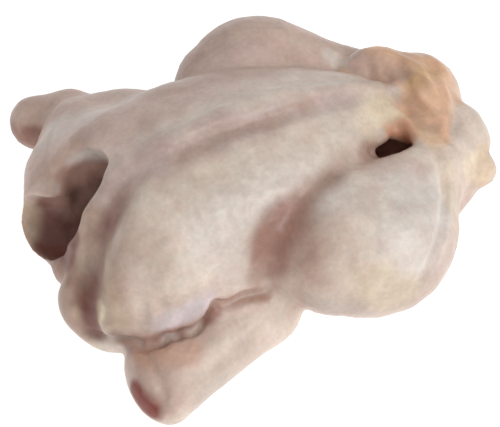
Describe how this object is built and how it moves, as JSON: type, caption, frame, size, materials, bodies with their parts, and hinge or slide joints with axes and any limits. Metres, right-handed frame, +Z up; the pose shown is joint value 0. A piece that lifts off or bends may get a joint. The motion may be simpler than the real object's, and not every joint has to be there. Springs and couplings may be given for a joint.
{
  "type": "whole frozen chicken",
  "caption": "Whole plucked and dressed raw chicken lying on its back, breast up, with folded wings, legs drawn up and an open body cavity from the neck to the vent.",
  "frame": {"origin": "under the middle of the bird's box, on the surface that it lies on", "axes": "+X from the neck opening to the tail, +Z up from the back to the breast, -Y towards the wing that lies folded in front"},
  "size_m": [0.2364, 0.2064, 0.0963],
  "materials": {
    "skin": "moist raw skin, satin"
  },
  "bodies": {
    "root": {"chicken": "skin"}
  },
  "joints": []
}
